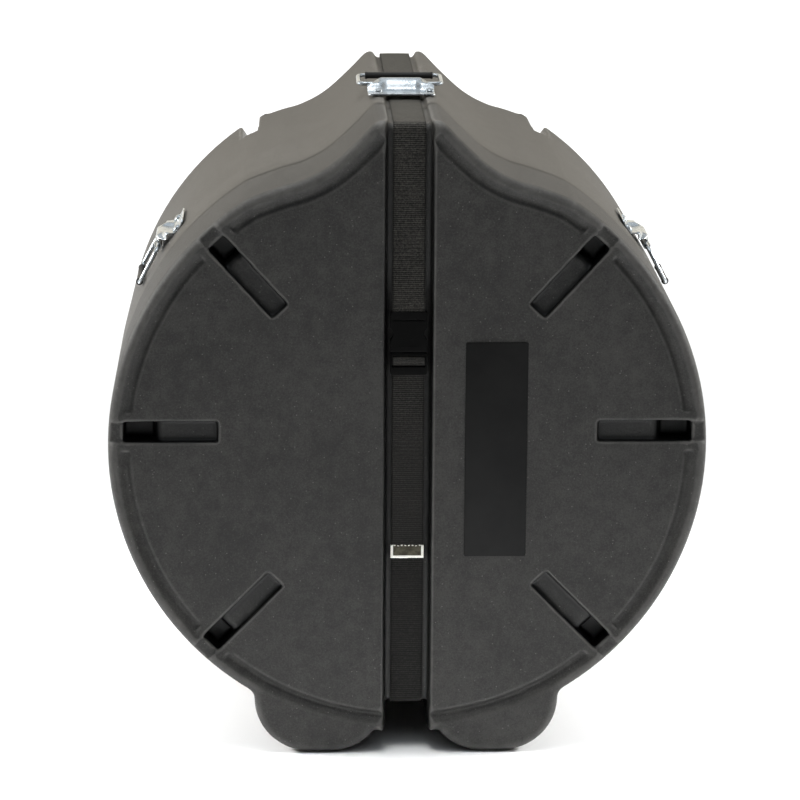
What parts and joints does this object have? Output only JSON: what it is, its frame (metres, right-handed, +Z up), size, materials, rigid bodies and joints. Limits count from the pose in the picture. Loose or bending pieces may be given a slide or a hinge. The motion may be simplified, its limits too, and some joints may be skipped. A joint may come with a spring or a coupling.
{
  "type": "bass drum case",
  "caption": "Round moulded case for a bass drum, with a pull-off lid, a webbing strap with a side-release buckle, moulded feet and hinged carrying handles.",
  "frame": {"origin": "on the floor, below the middle of the case: bottom centre of the bounding box", "axes": "+Z up, -Y the face of the lid, +X to the right seen from the lid's side"},
  "size_m": [0.7018, 0.58, 0.7778],
  "materials": {
    "moulded_shell": "black roto-moulded polyethylene with a fine satin grain and pale specks",
    "smooth_plate": "smooth black, glossier than the shell, bare",
    "webbing": "black woven webbing with fine cross ribs",
    "buckle_plastic": "black moulded acetal, satin",
    "plated_steel": "bright zinc plate with soft streaks",
    "clip_steel": "bright nickel plate",
    "grip_rubber": "black, slightly dull"
  },
  "bodies": {
    "base": {"base_shell": "moulded_shell", "strap_over_top": "webbing", "strap_down_back": "webbing", "strap_under_base": "webbing", "top_handle_plate": "plated_steel", "left_handle_plate": "plated_steel", "right_handle_plate": "plated_steel", "top_rivet_a": "plated_steel", "top_rivet_a_washer": "plated_steel", "top_rivet_b": "plated_steel", "top_rivet_b_washer": "plated_steel", "left_rivet_a": "plated_steel", "left_rivet_a_washer": "plated_steel", "left_rivet_b": "plated_steel", "left_rivet_b_washer": "plated_steel", "right_rivet_a": "plated_steel", "right_rivet_a_washer": "plated_steel", "right_rivet_b": "plated_steel", "right_rivet_b_washer": "plated_steel"},
    "lid": {"lid_shell": "moulded_shell", "label_plate": "smooth_plate", "strap_upper_front": "webbing", "strap_lower_front": "webbing", "buckle_female": "buckle_plastic"},
    "buckle_lower": {"buckle_male": "buckle_plastic", "strap_tail": "webbing", "strap_tail_clip": "clip_steel"},
    "prong_left": {"buckle_prong_left": "buckle_plastic"},
    "prong_right": {"buckle_prong_right": "buckle_plastic"},
    "top_bail": {"top_bail_wire": "plated_steel", "top_bail_grip": "grip_rubber"},
    "left_bail": {"left_bail_wire": "plated_steel", "left_bail_grip": "grip_rubber"},
    "right_bail": {"right_bail_wire": "plated_steel", "right_bail_grip": "grip_rubber"}
  },
  "joints": [
    {"name": "lid_pull", "type": "slide", "parent": "base", "child": "lid", "axis": [0, -1, 0], "range_m": [0, 0.15]},
    {"name": "buckle_release", "type": "slide", "parent": "lid", "child": "buckle_lower", "axis": [0, 0, -1], "range_m": [0, 0.034]},
    {"name": "prong_left_press", "type": "hinge", "parent": "buckle_lower", "child": "prong_left", "pos_m": [-0.0115, -0.2825, 0.4915], "axis": [0, 1, 0], "range_deg": [0, 5], "stiffness_Nm_per_rad": 0.05},
    {"name": "prong_right_press", "type": "hinge", "parent": "buckle_lower", "child": "prong_right", "pos_m": [0.0115, -0.2825, 0.4915], "axis": [0, -1, 0], "range_deg": [0, 5], "stiffness_Nm_per_rad": 0.05},
    {"name": "top_bail_swing", "type": "hinge", "parent": "base", "child": "top_bail", "pos_m": [-0.0035, -0.05, 0.7688], "axis": [1, 0, 0], "range_deg": [0, 100]},
    {"name": "left_bail_swing", "type": "hinge", "parent": "base", "child": "left_bail", "pos_m": [-0.29711, -0.05, 0.57506], "axis": [0, 1, 0], "range_deg": [0, 105]},
    {"name": "right_bail_swing", "type": "hinge", "parent": "base", "child": "right_bail", "pos_m": [0.29711, -0.05, 0.57506], "axis": [0, -1, 0], "range_deg": [0, 105]}
  ]
}
